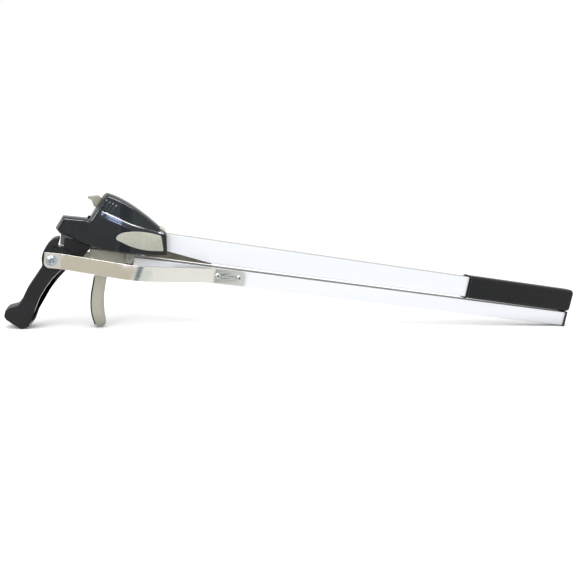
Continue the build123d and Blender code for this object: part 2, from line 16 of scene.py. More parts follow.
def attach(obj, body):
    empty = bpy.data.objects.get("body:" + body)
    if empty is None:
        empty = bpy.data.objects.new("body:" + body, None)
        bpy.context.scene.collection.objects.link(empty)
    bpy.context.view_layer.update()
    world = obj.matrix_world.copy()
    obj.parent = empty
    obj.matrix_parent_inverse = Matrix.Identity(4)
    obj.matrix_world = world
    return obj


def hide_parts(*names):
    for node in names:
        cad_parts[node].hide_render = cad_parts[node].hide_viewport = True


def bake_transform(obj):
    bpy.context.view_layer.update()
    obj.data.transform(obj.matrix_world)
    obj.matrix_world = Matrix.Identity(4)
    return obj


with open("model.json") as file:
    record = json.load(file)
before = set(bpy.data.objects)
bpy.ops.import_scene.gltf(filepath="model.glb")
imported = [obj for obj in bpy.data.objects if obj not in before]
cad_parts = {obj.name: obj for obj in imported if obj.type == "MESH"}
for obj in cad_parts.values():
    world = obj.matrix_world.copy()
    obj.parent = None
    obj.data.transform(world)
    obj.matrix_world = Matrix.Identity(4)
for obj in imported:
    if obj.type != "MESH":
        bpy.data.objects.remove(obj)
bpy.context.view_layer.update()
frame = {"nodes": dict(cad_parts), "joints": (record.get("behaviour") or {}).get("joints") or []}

joints = {joint["name"]: joint for joint in frame["joints"]}
PIVOT = Vector(joints["arm_hinge"]["pos_m"])
ALONG = Vector(joints["pusher_slide"]["axis"])
UP = Vector(joints["driver_slide"]["axis"])
ACROSS = Vector((0, 1, 0))
TURN = Matrix((ALONG, ACROSS, UP)).transposed().to_4x4()
TOOL = Matrix.Translation(PIVOT) @ TURN @ Matrix.Scale(0.001, 4)
TILT = atan2(UP.x, UP.z)


# ---------------------------------------------------------------- materials
GRAIN_DEPTH, DOT_DEPTH = 0.00012, 0.0003
PATCH_SCALE = 26.0
# The grey that upward faces are mixed towards: painted shade on the tubes' tops.
PAINTED_TOP_SHADE = (0.40, 0.40, 0.38, 1)


def material(name, colour, rough, metal=0.0, specular=0.5, speckle=0.06, grain=900.0, bump=0.05,
             rough_swing=0.06, stretch=1.0, stipple=0.0, painted_gap_shade=0.0, painted_top_shade=0.0):
    """A procedural finish: uneven colour, uneven roughness and a fine surface grain. stretch draws the grain
    out along the tubes and stipple adds raised dots. The top shade option paints shade on the faces that look
    up, and the occlusion option paints shade into tight gaps, where moulded parts meet."""
    mat = bpy.data.materials.new(name)
    mat.use_nodes = True
    nodes, links = mat.node_tree.nodes, mat.node_tree.links
    shader = nodes["Principled BSDF"]
    where = nodes.new("ShaderNodeTexCoord")
    turn = nodes.new("ShaderNodeMapping")
    turn.inputs["Rotation"].default_value = (0, -TILT, 0)
    turn.inputs["Scale"].default_value = (1 / stretch, 1, 1)
    links.new(where.outputs["Object"], turn.inputs["Vector"])

    def feed(node, socket, value):
        """Links value when it is another node's output, and sets it when it is a number or a colour."""
        if isinstance(value, bpy.types.NodeSocket):
            links.new(value, node.inputs[socket])
        else:
            node.inputs[socket].default_value = value

    def noise(scale, detail):
        node = nodes.new("ShaderNodeTexNoise")
        feed(node, "Scale", scale)
        feed(node, "Detail", detail)
        feed(node, "Vector", turn.outputs["Vector"])
        return node.outputs["Fac"]

    def ranged(value, low, high, at_low=0.0, at_high=1.0):
        node = nodes.new("ShaderNodeMapRange")
        feed(node, "Value", value)
        feed(node, "From Min", low)
        feed(node, "From Max", high)
        feed(node, "To Min", at_low)
        feed(node, "To Max", at_high)
        return node.outputs["Result"]

    def mixed(factor, first, second, how="MIX"):
        node = nodes.new("ShaderNodeMix")
        node.data_type = "RGBA"
        node.blend_type = how
        feed(node, "Factor", factor)
        feed(node, "A", first)
        feed(node, "B", second)
        return node.outputs["Result"]

    def raised(height, strength, depth):
        node = nodes.new("ShaderNodeBump")
        feed(node, "Strength", strength)
        feed(node, "Distance", depth)
        feed(node, "Height", height)
        return node

    fine = noise(grain, 2.0)
    light = [min(1.0, c * (1 + speckle)) for c in colour]
    dark = [max(0.0, c * (1 - 4 * speckle)) for c in colour]
    base = mixed(ranged(noise(PATCH_SCALE, 3.0), 0.35, 0.75), (*light, 1), (*dark, 1))
    relief = raised(fine, bump, GRAIN_DEPTH)
    if stipple:
        cells = nodes.new("ShaderNodeTexVoronoi")
        feed(cells, "Scale", stipple)
        feed(cells, "Vector", where.outputs["Object"])
        dots = ranged(cells.outputs["Distance"], 0.15, 0.5, 1.0, 0.0)
        grain_relief = relief
        relief = raised(dots, 0.7, DOT_DEPTH)
        feed(relief, "Normal", grain_relief.outputs["Normal"])
        base = mixed(0.35, base, dots, "MULTIPLY")
    # Painted shade: faces that look up are mixed towards a dull grey.
    if painted_top_shade:
        facing = nodes.new("ShaderNodeNewGeometry")
        split = nodes.new("ShaderNodeSeparateXYZ")
        feed(split, "Vector", facing.outputs["Normal"])
        base = mixed(ranged(split.outputs["Z"], 0.35, 0.9, 0.0, painted_top_shade), base, PAINTED_TOP_SHADE)
    # Painted shade: ambient occlusion darkens the colour in tight gaps and under parts.
    if painted_gap_shade:
        shut = nodes.new("ShaderNodeAmbientOcclusion")
        feed(shut, "Distance", 0.02)
        shut.samples = 8
        base = mixed(painted_gap_shade, base, shut.outputs["Color"], "MULTIPLY")
    feed(shader, "Base Color", base)
    feed(shader, "Roughness", ranged(fine, 0.3, 0.7, max(0.02, rough - rough_swing), rough + rough_swing))
    feed(shader, "Normal", relief.outputs["Normal"])
    feed(shader, "Metallic", metal)
    feed(shader, "Specular IOR Level", specular)
    return mat


FINISHES = {
    "head_shell": material("shell_black", (0.006, 0.007, 0.0075), 0.12, specular=0.29, bump=0.03),
    "inlay": material("inlay_grey", (0.54, 0.54, 0.45), 0.6, speckle=0.03, stipple=900.0),
    "screws": material("screw_steel", (0.62, 0.62, 0.62), 0.28, metal=1.0, grain=1800.0),
    "black_steel": material("phosphated_steel", (0.02, 0.02, 0.022), 0.42, metal=0.6, grain=1500.0,
                            bump=0.15),
    "collar": material("collar_grey", (0.52, 0.51, 0.44), 0.5, speckle=0.04),
    # The tube finish paints shade on its upward faces and into tight gaps.
    "tube": material("satin_aluminium", (0.75, 0.76, 0.79), 0.38, metal=0.2, speckle=0.01, grain=2600.0,
                     stretch=60.0, bump=0.08, rough_swing=0.05, painted_gap_shade=0.6, painted_top_shade=1.0),
    "grip": material("black_vinyl", (0.007, 0.007, 0.008), 0.36, specular=0.22, grain=700.0, bump=0.12),
    "handle": material("handle_black", (0.012, 0.012, 0.014), 0.40, specular=0.32, grain=1600.0, bump=0.25),
    "anvil": material("anvil_steel", (0.05, 0.05, 0.055), 0.34, metal=1.0, grain=1400.0),
    "bolt": material("zinc_bolt", (0.50, 0.54, 0.60), 0.2, metal=1.0, grain=1500.0, bump=0.03),
    "sleeve": material("sleeve_steel", (0.55, 0.54, 0.50), 0.25, metal=1.0),
    "pins": material("pin_steel", (0.58, 0.58, 0.58), 0.22, metal=1.0),
    "spring": material("spring_steel", (0.42, 0.42, 0.44), 0.25, metal=1.0),
    "end_cap": material("cap_black", (0.012, 0.012, 0.012), 0.40, specular=0.4, bump=0.12),
    "nylon": material("nylon_black", (0.020, 0.020, 0.020), 0.48, bump=0.15),
    # Brown-grey painted shade for the sheet inside the upper tube.
    "liner": material("tube_shade_grey", (0.38, 0.35, 0.27), 0.55, specular=0.2, speckle=0.08, bump=0.2),
    "strap": material("strap_steel", (0.80, 0.78, 0.72), 0.20, metal=1.0, speckle=0.015, grain=3200.0,
                      stretch=40.0, bump=0.08, rough_swing=0.05),
    # The trigger finish, which the frame lugs and the lever share, paints shade into tight gaps.
    "trigger": material("trigger_grey", (0.35, 0.34, 0.275), 0.42, speckle=0.03, bump=0.10, painted_gap_shade=0.75),
    "strip": material("strip_black", (0.010, 0.010, 0.010), 0.38, specular=0.4, bump=0.15),
    "magazine_steel": material("magazine_steel", (0.16, 0.16, 0.16), 0.26, metal=1.0, grain=2200.0,
                               stretch=20.0),
    "nose": material("nose_steel", (0.17, 0.17, 0.18), 0.24, metal=1.0, grain=1800.0),
    "staples": material("staple_wire", (0.70, 0.70, 0.72), 0.20, metal=1.0, grain=2600.0),
}

NODE_SLOTS = {
    "housing_left": "head_shell", "housing_right": "head_shell", "inlay_left": "inlay",
    "inlay_right": "inlay", "housing_screws": "screws", "head_frame": "black_steel",
    "tube_collar": "collar", "upper_tube": "tube", "grip": "grip", "tube_bolts": "screws",
    "hook_handle": "handle", "hook_bolts": "black_steel", "anvil": "anvil", "pivot_bolt": "bolt",
    "pivot_nut": "bolt", "pivot_sleeve": "sleeve", "trigger_pin": "pins", "magazine_pin": "pins",
    "lever_pin": "pins", "trigger_spring": "spring", "lever_spring": "spring", "lower_tube": "tube",
    "lower_end_cap": "end_cap", "push_block": "nylon", "push_block_pin": "pins", "strap_left": "strap",
    "strap_right": "strap", "strap_screws": "screws", "strap_nuts": "screws", "trigger": "trigger",
    "trigger_strip": "strip", "magazine": "magazine_steel", "nose_plate": "nose",
    "staple_stick": "staples", "staple_pusher": "nylon", "pusher_spring": "spring",
    "driver_blade": "magazine_steel", "driver_arm": "magazine_steel", "release_lever": "trigger",
}
BEVELS = {
    "upper_tube": 0.25, "lower_tube": 0.25, "strap_left": 0.45, "strap_right": 0.45, "head_frame": 0.4,
    "lower_end_cap": 0.6, "tube_collar": 0.7, "anvil": 0.5, "pivot_nut": 0.5, "strap_nuts": 0.35,
    "magazine": 0.15, "nose_plate": 0.15, "push_block": 0.8, "driver_arm": 0.5, "staple_pusher": 0.5,
    "housing_screws": 0.4, "hook_bolts": 0.35, "tube_bolts": 0.4, "pivot_sleeve": 0.4,
    "trigger_pin": 0.4, "magazine_pin": 0.4, "lever_pin": 0.4, "push_block_pin": 0.3,
    "driver_blade": 0.1,
}
for name, slot in NODE_SLOTS.items():
    node = frame["nodes"][name]
    node.data.materials.clear()
    node.data.materials.append(FINISHES[slot])
    if name in BEVELS:
        weld = node.modifiers.new("weld", "WELD")
        weld.merge_threshold = 1e-6
        bevel = node.modifiers.new("bevel", "BEVEL")
        bevel.width = BEVELS[name] / 1000
        bevel.segments = 3
        bevel.limit_method = "ANGLE"
        bevel.angle_limit = radians(32)
        bevel.harden_normals = True


# ---------------------------------------------------------------- mesh helpers
def sharpen(obj, degrees):
    """Smooth shading, with edges sharper than the angle left sharp."""
    mesh = obj.data
    mesh.polygons.foreach_set("use_smooth", [True] * len(mesh.polygons))
    mesh.set_sharp_from_angle(angle=radians(degrees))


def piece(name, points, faces, body, slot, replaces=(), sharp=50):
    """A mesh piece drawn in the tool frame. A piece given body None is attached to no body, and one without a
    sharp angle is left flat."""
    mesh = bpy.data.meshes.new(name)
    mesh.from_pydata([TOOL @ Vector(p) for p in points], [], faces)
    mesh.validate()
    work = bmesh.new()
    work.from_mesh(mesh)
    bmesh.ops.remove_doubles(work, verts=work.verts, dist=2e-6)
    bmesh.ops.recalc_face_normals(work, faces=work.faces)
    work.to_mesh(mesh)
    work.free()
    obj = bpy.data.objects.new(name, mesh)
    bpy.context.scene.collection.objects.link(obj)
    mesh.materials.append(FINISHES[slot])
    if body:
        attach(obj, body)
    if replaces:
        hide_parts(*replaces)
    if sharp:
        sharpen(obj, sharp)
    return obj


def rounded(corners, step=7.0):
    """A closed polyline through (x, z, radius) corners, each turned into an arc."""
    path = []
    count = len(corners)
    for i, (x, z, radius) in enumerate(corners):
        here = Vector((x, z))
        before = Vector(corners[i - 1][:2])
        after = Vector(corners[(i + 1) % count][:2])
        if radius == 0:
            path.append((x, z))
            continue
        room = 0.49 * min((before - here).length, (after - here).length)
        back, ahead = (before - here).normalized(), (after - here).normalized()
        turn = pi - acos(max(-1, min(1, back.dot(ahead))))
        if turn < 0.01:
            path.append((x, z))
            continue
        reach = min(radius * tan(turn / 2), room)
        radius = reach / tan(turn / 2)
        centre = here + (back + ahead).normalized() * hypot(radius, reach)
        start, end = here + back * reach - centre, here + ahead * reach - centre
        sweep = start.angle_signed(end)
        parts = max(2, int(abs(sweep) / radians(step)) + 1)
        for k in range(parts + 1):
            angle = -sweep * k / parts
            path.append(tuple(centre + Matrix.Rotation(angle, 2) @ start))
    return path


def resampled(path, spacing):
    """The closed path with no segment longer than spacing."""
    dense = []
    for (x0, z0), (x1, z1) in zip(path, path[1:] + path[:1]):
        length = hypot(x1 - x0, z1 - z0)
        if length < 1e-4:
            continue
        parts = max(1, int(length / spacing))
        dense += [(x0 + (x1 - x0) * k / parts, z0 + (z1 - z0) * k / parts) for k in range(parts)]
    return dense


def inward_normals(path):
    """Unit normals of a closed path, pointing into it."""
    points = np.array(path)
    tangent = np.roll(points, -1, 0) - np.roll(points, 1, 0)
    tangent /= np.linalg.norm(tangent, axis=1)[:, None]
    x, z = points[:, 0], points[:, 1]
    area = np.sum(x * np.roll(z, -1) - np.roll(x, -1) * z)
    normal = np.stack([-tangent[:, 1], tangent[:, 0]], 1)
    return normal if area > 0 else -normal


def ring_faces(rings, count):
    """The quads between successive closed rings of count points each."""
    faces = []
    for ring in range(rings - 1):
        for k in range(count):
            a, b = ring * count + k, ring * count + (k + 1) % count
            faces.append((a, b, b + count, a + count))
    return faces


def rounded_slab(corners, y0, y1, edge, spacing=1.5, steps=5):
    """Points and faces of a slab with the given side outline and softly rounded rims. edge is the rims'
    radius, or a function of (x, z) that gives it."""
    path = resampled(rounded(corners), spacing)
    inward = inward_normals(path)
    radii = [edge(x, z) if callable(edge) else edge for x, z in path]
    # The ring round the flat of each side lies a little further in than the rim's radius.
    flat = 1.06
    profile = [(1 - cos(a), 1 - sin(a)) for a in [pi / 2 * k / steps for k in range(steps, -1, -1)]]
    levels = [(side, out, deep) for side in (1, -1) for out, deep in (profile if side > 0 else profile[::-1])]
    levels = [(1, flat, 0.0)] + levels + [(-1, flat, 0.0)]
    points = []
    for side, out, deep in levels:
        for (x, z), normal, radius in zip(path, inward, radii):
            y = (y1 - radius * deep) if side > 0 else (y0 + radius * deep)
            points.append((x + normal[0] * radius * out, y, z + normal[1] * radius * out))
    count, total = len(path), len(points)
    faces = ring_faces(len(levels), count)
    faces += [tuple(range(count - 1, -1, -1)), tuple(range(total - count, total))]
    return points, faces


def pair_of_slabs(corners, inner, outer, edge, spacing=1.5):
    """The same slab on the left and on the right, between inner and outer from the middle plane."""
    left = rounded_slab(corners, -outer, -inner, edge, spacing)
    right = rounded_slab(corners, inner, outer, edge, spacing)
    return join(left, right)


def lathe(centre, profile, segments=48):
    """Points and faces turned about a cross axis at centre (x, z). profile is (radius, y) from tip to tip."""
    points = []
    for radius, y in profile:
        for k in range(segments):
            angle = 2 * pi * k / segments
            points.append((centre[0] + radius * cos(angle), y, centre[1] + radius * sin(angle)))
    return points, ring_faces(len(profile), segments)


def join(*shapes):
    """Several (points, faces) shapes as one."""
    points, faces = [], []
    for some_points, some_faces in shapes:
        start = len(points)
        points += some_points
        faces += [tuple(start + i for i in face) for face in some_faces]
    return points, faces


def curve_value(table, x):
    """A smooth curve through a table of (x, value) pairs."""
    xs = [row[0] for row in table]
    x = max(xs[0], min(xs[-1], x))
    i = max(0, min(len(xs) - 2, bisect_right(xs, x) - 1))

    def slope(k):
        low, high = max(0, k - 1), min(len(xs) - 1, k + 1)
        return (table[high][1] - table[low][1]) / (xs[high] - xs[low])

    width = xs[i + 1] - xs[i]
    t = (x - xs[i]) / width
    a, b = table[i][1], table[i + 1][1]
    m, n = slope(i) * width, slope(i + 1) * width
    return a + m * t + (3 * (b - a) - 2 * m - n) * t * t + (2 * (a - b) + m + n) * t ** 3


def step_up(value, low, high):
    """0 below low, 1 above high, smooth between."""
    t = np.clip((np.asarray(value, float) - low) / (high - low), 0, 1)
    return t * t * (3 - 2 * t)


def distance(x, z, path):
    """Distance from arrays of points to an open polyline."""
    best = np.full(np.shape(x), 1e9)
    for (x0, z0), (x1, z1) in zip(path, path[1:]):
        dx, dz = x1 - x0, z1 - z0
        length2 = dx * dx + dz * dz
        if length2 < 1e-9:
            continue
        t = np.clip(((x - x0) * dx + (z - z0) * dz) / length2, 0, 1)
        best = np.minimum(best, np.hypot(x - x0 - t * dx, z - z0 - t * dz))
    return best


def quarter(distance_in, radius):
    """How far a rounded edge has risen at that distance from the outline."""
    t = 1 - np.clip(distance_in / radius, 0, 1)
    return np.sqrt(1 - t * t)


# ---------------------------------------------------------------- head housing
SIDE_NAMES = {-1: "left", 1: "right"}
# The side outline's corners, as (x, z, radius).
top_line = [
    (46.4, 80.9, 5.0), (49.7, 84.6, 5.0), (62.6, 81.9, 60.0), (75.4, 77.2, 60.0), (86.4, 71.8, 60.0),
    (98.5, 65.0, 60.0), (109.8, 57.7, 60.0), (121.0, 50.0, 0),
]
bottom_line = [
    (126.0, 21.6, 0), (107.0, 18.8, 60.0), (84.2, 17.4, 60.0), (52.1, 17.9, 60.0), (40.1, 19.8, 30.0),
    (25.4, 22.8, 12.0), (13.4, 28.4, 5.0), (5.0, 29.5, 2.5),
]
nose_line = [(-0.6, 36.1, 2.5), (5.9, 51.2, 3.0), (34.0, 52.6, 2.0)]
HEAD_PATH = rounded(bottom_line + nose_line + top_line)
TIP = min(range(len(HEAD_PATH)), key=lambda i: HEAD_PATH[i][0])
LOWER_CHAIN = HEAD_PATH[TIP::-1]
UPPER_CHAIN = HEAD_PATH[TIP:]
# Stretches of the outline, each with the radius of its rounded edge.
EDGES = (
    ([(x, z) for x, z, _ in bottom_line], 4.0),
    ([(5.0, 29.5), (-0.6, 36.1), (5.9, 51.2)], 3.0),
    ([(5.9, 51.2), (34.0, 52.6)], 3.6),
    ([(34.0, 52.6), (46.4, 80.9)], 4.5),
    ([(x, z) for x, z in UPPER_CHAIN if x > 45.0 and z > 49.0], 4.2),
)
# The half width along the body, and the crease's height.
PLAN = (
    (-3, 10.6), (5.4, 12.0), (19, 12.6), (32, 13.8), (48.5, 19.6), (65, 22.4), (76, 22.6),
    (85.5, 21.9), (108, 17.4), (129, 13.0),
)
CREASE = (
    (38, 65.0), (49.3, 61.9), (63.7, 57.6), (80.6, 52.8), (99.4, 49.6), (118.2, 46.9), (132, 45.3),
)
# Above the crease the wall steps in and leans in further, and under it there is a hollow. Below that the
# flanks tuck in towards the bottom edge.
STEP_IN, LEAN, HOLLOW, TUCK = 1.3, 0.15, 1.7, 0.10
# Four short ribs, given by their middle and half length, stand parallel to the front slope.
RIBS = [(47.4 + 3.9 * k, 70.2 - 1.0 * k, 5.6 - 0.45 * k) for k in range(4)]
RIB_HEIGHT = 0.9
# The wall's thickness, in metres.
WALL = 0.0022
FRONT_SLOPE = Vector((12.4, 28.3)).normalized()


def half_width(x, z):
    """The housing's half width at arrays of side view points."""
    wide = np.array([curve_value(PLAN, v) for v in x.ravel()]).reshape(x.shape)
    crease = np.array([curve_value(CREASE, v) for v in x.ravel()]).reshape(x.shape)
    above = z - crease
    side = step_up(x, 41, 49) * (1 - step_up(x, 112, 121))
    wide = wide - side * (STEP_IN * step_up(above, -0.6, 1.8) + LEAN * np.clip(above - 1, 0, 40))
    wide = wide - side * HOLLOW * step_up(above, -8.5, -0.3) ** 2
    wide = wide - TUCK * np.clip(38 - z, 0, 20) * step_up(x, 28, 54)
    for path, radius in EDGES:
        wide = wide * quarter(distance(x, z, path), radius)
    for cx, cz, half_length in RIBS:
        along = (x - cx) * FRONT_SLOPE.x + (z - cz) * FRONT_SLOPE.y
        beside = (x - cx) * FRONT_SLOPE.y - (z - cz) * FRONT_SLOPE.x
        past = np.hypot(np.clip(np.abs(along) - half_length, 0, None), beside)
        wide = wide + RIB_HEIGHT * (1 - step_up(past, 0.55, 1.35))
    return wide


def chain_height(chain, x):
    """The height of a chain of outline points at x."""
    xs, zs = [p[0] for p in chain], [p[1] for p in chain]
    return float(np.interp(x, xs, zs))


def housing(hand, name):
    """One half of the shell, open along the tool's middle plane."""
    columns = 300
    rows = 116
    x_start, rear_low, rear_high = HEAD_PATH[TIP][0] + 0.01, bottom_line[0][0], top_line[-1][0]
    x_low = np.linspace(x_start, rear_low, columns)
    # The columns are upright up to here, and lean with the rear end after it.
    lean = 98.0
    x_high = np.where(x_low < lean, x_low, lean + (x_low - lean) * (rear_high - lean) / (rear_low - lean))
    v = (1 - np.cos(np.linspace(0, pi, rows))) / 2
    low = np.array([chain_height(LOWER_CHAIN, value) for value in x_low])
    high = np.array([chain_height(UPPER_CHAIN, value) for value in x_high])
    x = x_low[:, None] + (x_high - x_low)[:, None] * v
    z = low[:, None] + (high - low)[:, None] * v
    y = hand * (half_width(x, z) + 0.06)
    points = [(x[i, j], y[i, j], z[i, j]) for i in range(columns) for j in range(rows)]
    faces = []
    for i in range(columns - 1):
        for j in range(rows - 1):
            a = i * rows + j
            faces.append((a, a + 1, a + rows + 1, a + rows))
    obj = piece(name, points, faces, "head", "head_shell", (f"housing_{SIDE_NAMES[hand]}",), sharp=None)
    obj.data.polygons.foreach_set("use_smooth", [True] * len(faces))
    if sum(p.normal.y * hand for p in obj.data.polygons) < 0:
        obj.data.flip_normals()
    wall = obj.modifiers.new("wall", "SOLIDIFY")
    wall.thickness = WALL
    wall.offset = -1
    return obj


def slab(points, y0, y1):
    """Points and faces of a plain slab."""
    count = len(points)
    corners = [(x, y0, z) for x, z in points] + [(x, y1, z) for x, z in points]
    faces = [tuple(range(count)), tuple(range(2 * count - 1, count - 1, -1))]
    faces += [(k, count + k, count + (k + 1) % count, (k + 1) % count) for k in range(count)]
    return corners, faces


def box(x0, x1, y, z0, z1):
    """Points and faces of a plain block, from -y to y."""
    return slab([(x0, z0), (x1, z0), (x1, z1), (x0, z1)], -y, y)


# Openings for the nose, the frame and trigger, the lever, the collar and the upper tube.
CUTTERS = [
    box(4.7, 20.4, 8.7, 10, 33),
    box(16.8, 97, 10.5, 10, 30),
    box(36, 46.8, 5.5, 60, 79.5),
    slab([(110.1, 27.5), (125.0, 26.4), (123.0, 48.0), (118.7, 54.5), (111.9, 54.1)], -10.5, 10.5),
    box(87, 160, 8.1, 18.9, 47.6),
]


def cut(obj, cutters):
    """Takes each cutter's volume out of obj and keeps the result as its mesh."""
    tools = []
    for index, (points, faces) in enumerate(cutters):
        mesh = bpy.data.meshes.new(f"cutter{index}")
        mesh.from_pydata([TOOL @ Vector(p) for p in points], [], faces)
        work = bmesh.new()
        work.from_mesh(mesh)
        bmesh.ops.recalc_face_normals(work, faces=work.faces)
        work.to_mesh(mesh)
        work.free()
        tool = bpy.data.objects.new(f"cutter{index}", mesh)
        bpy.context.scene.collection.objects.link(tool)
        tools.append(tool)
        step = obj.modifiers.new(f"cut{index}", "BOOLEAN")
        step.operation = "DIFFERENCE"
        step.solver = "EXACT"
        step.object = tool
    bpy.context.view_layer.update()
    graph = bpy.context.evaluated_depsgraph_get()
    result = bpy.data.meshes.new_from_object(obj.evaluated_get(graph))
    obj.modifiers.clear()
    obj.data = result
    for tool in tools:
        bpy.data.objects.remove(tool)


for hand, name in ((-1, "shell_left"), (1, "shell_right")):
    shell = housing(hand, name)
    cut(shell, CUTTERS)
    sharpen(shell, 40)

# ---------------------------------------------------------------- inlay
INLAY_CORNERS = [
    (64.8, 36.0, 9), (67.3, 40.6, 12), (72.2, 43.5, 14), (81.9, 46.1, 30), (93.2, 47.1, 50),
    (104.4, 46.7, 50), (115.5, 45.1, 2.5), (121.2, 26.9, 2.0), (101.4, 25.9, 50), (91.1, 26.8, 50),
    (80.8, 29.0, 30), (71.5, 32.2, 14), (66.4, 33.8, 7),
]
# The rings of the inlay's face close in on this line along its middle.
SPINE_START, SPINE_END, SPINE_HEIGHT = 73.0, 112.0, 36.8


def inlay(hand, name):
    """The grey panel on one flank. It follows the shell's form and stands a little proud of it."""
    path = resampled(rounded(INLAY_CORNERS, step=5), 0.8)
    inward = inward_normals(path)
    rings = []
    for inset, rise in ((0.0, -1.6), (0.0, 0.1), (0.12, 0.38), (0.45, 0.5)):
        rings.append([(x + n[0] * inset, z + n[1] * inset, rise) for (x, z), n in zip(path, inward)])
    rim = rings[-1]
    for t in [0.04, 0.09] + [k / 14 for k in range(2, 15)]:
        ring = []
        for x, z, rise in rim:
            spine = max(SPINE_START, min(SPINE_END, x))
            ring.append((x + (spine - x) * t, z + (SPINE_HEIGHT - z) * t, rise))
        rings.append(ring)
    flat = np.array([point for ring in rings for point in ring])
    wide = half_width(flat[:, 0], flat[:, 1])
    points = [(x, hand * (w + rise), z) for (x, z, rise), w in zip(flat, wide)]
    faces = ring_faces(len(rings), len(path))
    piece(name, points, faces, "head", "inlay", (f"inlay_{SIDE_NAMES[hand]}",), sharp=60)


inlay(-1, "panel_left")
inlay(1, "panel_right")

# ---------------------------------------------------------------- hook handle
cheeks = [
    (-9.3, -8.4, 6), (-15.9, -22.4, 40), (-22.4, -36.0, 40), (-26.8, -50.6, 12), (-30.2, -56.4, 6),
    (-39.3, -60.2, 4.5), (-42.4, -63.6, 5), (-43.0, -70.2, 4), (-40.7, -73.8, 4), (-25.1, -83.2, 2.2),
    (-20.1, -82.7, 2.2), (-15.0, -78.2, 5), (-12.3, -70.7, 12), (-10.3, -57.5, 40), (-7.4, -44.8, 60),
    (-2.2, -32.2, 60), (3.7, -21.1, 60), (13.0, -8.0, 14), (14.7, -3.9, 2), (14.7, 8.4, 1.5),
    (0.4, 8.4, 1.5), (0.4, 15.9, 0.6), (4.4, 16.0, 1.0), (4.9, 19.5, 3), (5.4, 23.1, 1.0),
    (5.2, 26.6, 1.4), (0.5, 25.3, 8), (-3.2, 22.1, 10), (-6.6, 16.6, 20), (-9.7, 10.1, 20),
    (-11.3, 1.4, 20),
]
finger = [
    (-23.4, -80.4, 3), (-20.1, -82.5, 3.2), (-14.8, -78.4, 4.5), (-10.1, -70.7, 12), (-7.5, -57.5, 40),
    (-2.9, -44.8, 60), (2.9, -32.2, 60), (9.0, -21.1, 60), (17.2, -8.0, 40), (32.3, 7.1, 20),
    (37.8, 15.9, 1.4), (20.4, 13.9, 1.2), (20.4, 8.4, 1.2), (8.0, 8.3, 1), (3.0, -10.0, 30),
    (-4.0, -20.1, 40), (-13.0, -40.3, 60), (-18.0, -60.6, 30),
]


def finger_edge(x, z):
    """The finger side is well rounded and the tongue is nearly square."""
    return 1.0 + 3.2 * float(1 - step_up(z, -26, -12)) * float(step_up(z, -78, -72))


CHEEK_Y, FINGER_Y = 10.9, 7.6
handle = join(
    rounded_slab(cheeks, -CHEEK_Y, CHEEK_Y, 1.3),
    rounded_slab(finger, -FINGER_Y, FINGER_Y, finger_edge),
)
piece("handle", *handle, "head", "handle", ("hook_handle",))
# A thin pale strip runs along each cheek's rear edge. It is a painted highlight of that edge.
edge_highlight_line = [
    (-15.0, -77.4), (-12.6, -70.7), (-10.6, -57.5), (-7.7, -44.8), (-2.5, -32.2), (3.4, -21.1),
    (11.6, -9.6),
]
edge_highlight_corners = [(x, z, 40) for x, z in edge_highlight_line] + [(x - 0.75, z + 0.25, 40) for x, z in edge_highlight_line[::-1]]
piece("handle_edge_highlight", *pair_of_slabs(edge_highlight_corners, 10.3, 11.0, 0.3, 1.2), "head", "collar")

# ---------------------------------------------------------------- head frame
frame_corners = [
    (16.4, 1.7, 2), (26.9, 3.6, 3), (38.3, 17.1, 5), (41.4, 23.1, 3), (97.2, 24.1, 20),
    (111.6, 31.1, 2), (112.6, 46.0, 2), (70.8, 46.0, 10), (52.9, 38.1, 10), (28.2, 33.1, 4),
    (20.7, 26.1, 4), (14.0, 26.4, 2), (10.7, 26.4, 0.8), (10.7, 14.3, 0.8), (17.2, 14.3, 0.8),
]
lug_corners = [
    (79.4, 23.1, 0.6), (79.3, 10.5, 4.4), (81.2, 7.4, 4.4), (86.6, 7.4, 4.4), (88.7, 10.5, 4.4),
    (88.7, 21.5, 1), (92, 23.1, 1),
]
bridge_corners = [(55.2, 44.1, 0.3), (81.0, 44.1, 0.3), (81.0, 45.9, 0.3), (55.2, 45.9, 0.3)]
PLATE_INNER, PLATE_OUTER = 8.1, 9.9
bridge = rounded_slab(bridge_corners, -9.0, 9.0, 0.4)
plates = join(pair_of_slabs(frame_corners, PLATE_INNER, PLATE_OUTER, 0.45), bridge)
piece("frame_plates", *plates, "head", "black_steel", ("head_frame",))
lugs = pair_of_slabs(lug_corners, PLATE_INNER, PLATE_OUTER, 0.45, 0.8)
piece("frame_lugs", *lugs, "head", "trigger", ("head_frame",))

# A brown-grey sheet sits inside the upper tube. It is seen through the relief in its near side and reaches
# down into the gap between the tubes. It is painted shade, standing for the shaded inside of the tube.
tube_shade_corners = [
    (101.5, 16.2, 0.4), (184.0, 16.2, 0.4), (184.0, 21.5, 0.4), (150.0, 32.0, 6), (101.5, 34.0, 0.4),
]
piece("tube_shade_sheet", *rounded_slab(tube_shade_corners, 4.6, 6.3, 0.3), "head", "liner")

# ---------------------------------------------------------------- trigger
trigger_corners = [
    (39.0, 13.5, 1.5), (44.3, 7.3, 8), (47.0, -4.0, 20), (48.4, -15.1, 40), (47.4, -37.3, 60),
    (48.5, -50.5, 60), (51.7, -61.7, 40), (55.9, -71.0, 6), (59.7, -73.5, 5), (66.0, -71.8, 5),
    (67.6, -67.8, 5.5), (63.7, -53.5, 60), (61.1, -36.3, 60), (61.5, -15.1, 60), (63.0, -0.9, 20),
    (65.2, 5.1, 3), (78.5, 5.0, 4), (84.8, 7.6, 4), (88.2, 12.0, 4), (86.0, 15.8, 4), (81.2, 18.4, 2),
    (39.4, 18.4, 1.2),
]


def trigger_edge(x, z):
    """The finger's rear is well rounded, and its front and the part in the head are nearly square."""
    front = float(np.interp(z, (-72, -61, -50, -37, -15), (62.0, 57.5, 54.5, 53.7, 54.0)))
    return 1.0 + 3.9 * float(step_up(x, front - 3, front + 4)) * float(1 - step_up(z, -14, 2))


